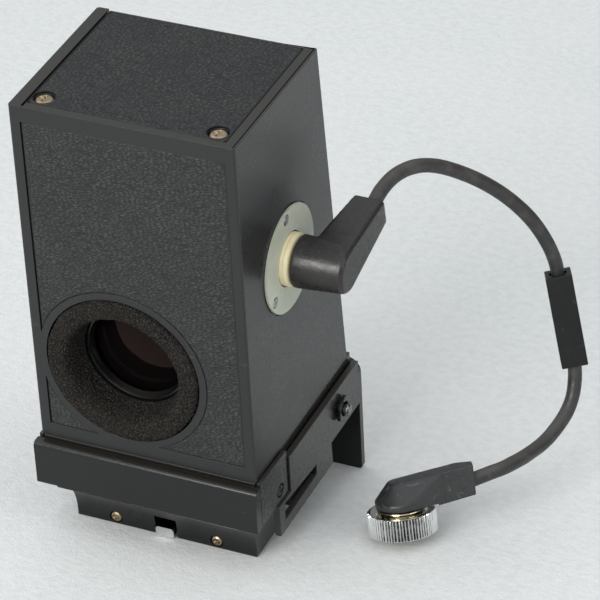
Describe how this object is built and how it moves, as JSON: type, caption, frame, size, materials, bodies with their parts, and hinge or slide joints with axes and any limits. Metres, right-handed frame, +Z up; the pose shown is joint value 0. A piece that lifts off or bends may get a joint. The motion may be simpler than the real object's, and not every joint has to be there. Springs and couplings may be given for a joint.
{
  "type": "camera finder with plug-in cord",
  "caption": "Tall slide-on camera finder with a foam-ringed eyepiece, a side socket and a short plug-in cord that ends in a screw-on knurled ring head.",
  "frame": {"origin": "on the table, under the middle of the finder's bounding box, cord left out", "axes": "+Z up, +Y from the eyepiece face towards the back, +X to the right as the eyepiece is faced"},
  "size_m": [0.0965, 0.088, 0.1071],
  "materials": {
    "enamel": "satin black enamel, worn at the edges",
    "leatherette": "black grained leatherette",
    "foam": "aged open-cell foam",
    "black_plastic": "matt",
    "pale_plastic": "satin grey-green",
    "cream_plastic": "yellowed cream",
    "cable_sheath": "dusty brown-black",
    "boot_rubber": "scuffed black",
    "chrome": "bright",
    "brass": "blackened brass",
    "steel": "plain",
    "glass": "polished and coated",
    "board": "laminate"
  },
  "bodies": {
    "finder": {"housing": "enamel", "top_cover": "enamel", "top_leatherette": "leatherette", "front_leatherette": "leatherette", "front_leatherette_corner": "leatherette", "rear_leatherette": "leatherette", "top_screw_left": "brass", "top_screw_right": "brass", "foam_eyecup": "foam", "eyepiece_flange": "black_plastic", "lens_retaining_ring": "steel", "eyepiece_lens": "glass", "eyepiece_inner_lens": "glass", "roof_prism": "glass", "prism_cradle": "black_plastic", "prism_strap": "steel", "condenser_lens": "glass", "circuit_board": "board", "board_post_left": "steel", "board_post_right": "steel", "capacitor": "steel", "amplifier_can": "steel", "meter_cell": "steel", "cell_bracket": "black_plastic", "socket_plate": "pale_plastic", "socket_insert": "cream_plastic", "socket_nut": "steel", "socket_screw_upper": "steel", "socket_screw_lower": "steel", "socket_screw_rear": "steel", "base_frame": "enamel", "name_plate": "enamel", "front_block": "enamel", "block_screw_left": "brass", "block_screw_right": "brass", "rear_skirt": "enamel", "side_plate_right": "enamel", "side_plate_left": "enamel", "side_rail_right": "enamel", "side_rail_left": "enamel", "guide_channel_right": "black_plastic", "guide_channel_left": "black_plastic", "button_collar_right": "steel", "button_collar_left": "steel", "side_screw_right": "enamel", "side_screw_left": "enamel"},
    "catch": {"catch_tab": "chrome"},
    "button_right": {"release_button_right": "steel", "button_spring_right": "steel"},
    "button_left": {"release_button_left": "steel", "button_spring_left": "steel"},
    "cord_set": {"plug_boot": "boot_rubber", "plug_pin": "brass", "cord": "cable_sheath", "inline_block": "boot_rubber", "head_boot": "boot_rubber", "head_collar": "chrome"},
    "ring": {"knurled_ring": "chrome"},
    "contact_pin": {"head_pin": "steel"}
  },
  "joints": [
    {"name": "plug_pull", "type": "slide", "parent": "finder", "child": "cord_set", "axis": [1, 0, 0], "range_m": [0, 0.0125]},
    {"name": "ring_turn", "type": "hinge", "parent": "cord_set", "child": "ring", "pos_m": [0.0444, 0.0086, 0.00165], "axis": [-0.19, 0.115, 0.975], "continuous": true},
    {"name": "pin_press", "type": "slide", "parent": "cord_set", "child": "contact_pin", "axis": [-0.19, 0.115, 0.975], "range_m": [0, 0.001], "stiffness_N_per_m": 500, "springref_m": -0.001},
    {"name": "button_press_right", "type": "slide", "parent": "finder", "child": "button_right", "axis": [-1, 0, 0], "range_m": [0, 0.0015], "stiffness_N_per_m": 400, "springref_m": -0.002},
    {"name": "button_press_left", "type": "slide", "parent": "finder", "child": "button_left", "axis": [1, 0, 0], "range_m": [0, 0.0015], "stiffness_N_per_m": 400, "springref_m": -0.002},
    {"name": "catch_lift", "type": "slide", "parent": "finder", "child": "catch", "axis": [0, -0.1564, 0.9877], "range_m": [0, 0.0016], "stiffness_N_per_m": 400, "springref_m": -0.002}
  ]
}
